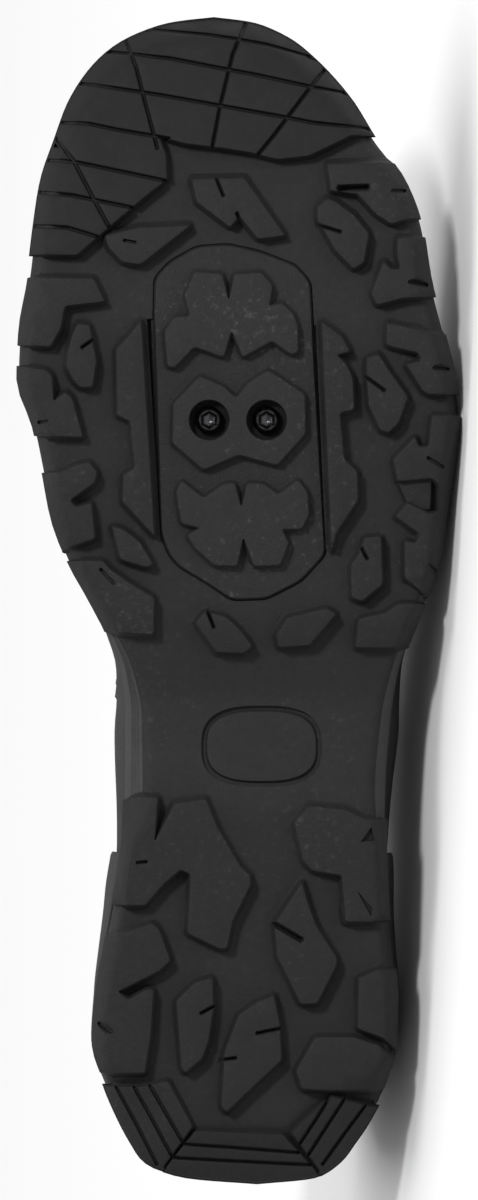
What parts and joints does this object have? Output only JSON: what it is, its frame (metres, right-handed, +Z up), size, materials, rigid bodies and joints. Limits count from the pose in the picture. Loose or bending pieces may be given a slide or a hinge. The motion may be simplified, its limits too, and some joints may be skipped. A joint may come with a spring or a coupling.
{
  "type": "cycling shoe",
  "caption": "Left trail cycling shoe: lugged rubber sole, bolted cover over its cleat seat, low strapped upper.",
  "frame": {"origin": "under the middle of the shoe's box, on the floor that it lies on", "axes": "+X from heel to toe, +Y from the sole towards the collar, +Z up, which is the shoe's medial side"},
  "size_m": [0.2838, 0.1206, 0.1076],
  "materials": {
    "sole_rubber": "matte, finely pebbled",
    "cover_rubber": "matte, finely pebbled",
    "bolt_steel": "satin",
    "upper_cloth": "matte weave",
    "counter_plastic": "semi-matte",
    "tongue_cloth": "matte mesh",
    "insole_cloth": "matte felt",
    "strap_webbing": "matte"
  },
  "bodies": {
    "root": {"outsole": "sole_rubber", "cleat_cover": "cover_rubber", "cleat_bolt_medial": "bolt_steel", "cleat_bolt_lateral": "bolt_steel", "upper": "upper_cloth", "heel_counter": "counter_plastic", "tongue": "tongue_cloth", "insole": "insole_cloth", "strap_toe": "strap_webbing", "strap_middle": "strap_webbing", "strap_instep": "strap_webbing"}
  },
  "joints": []
}
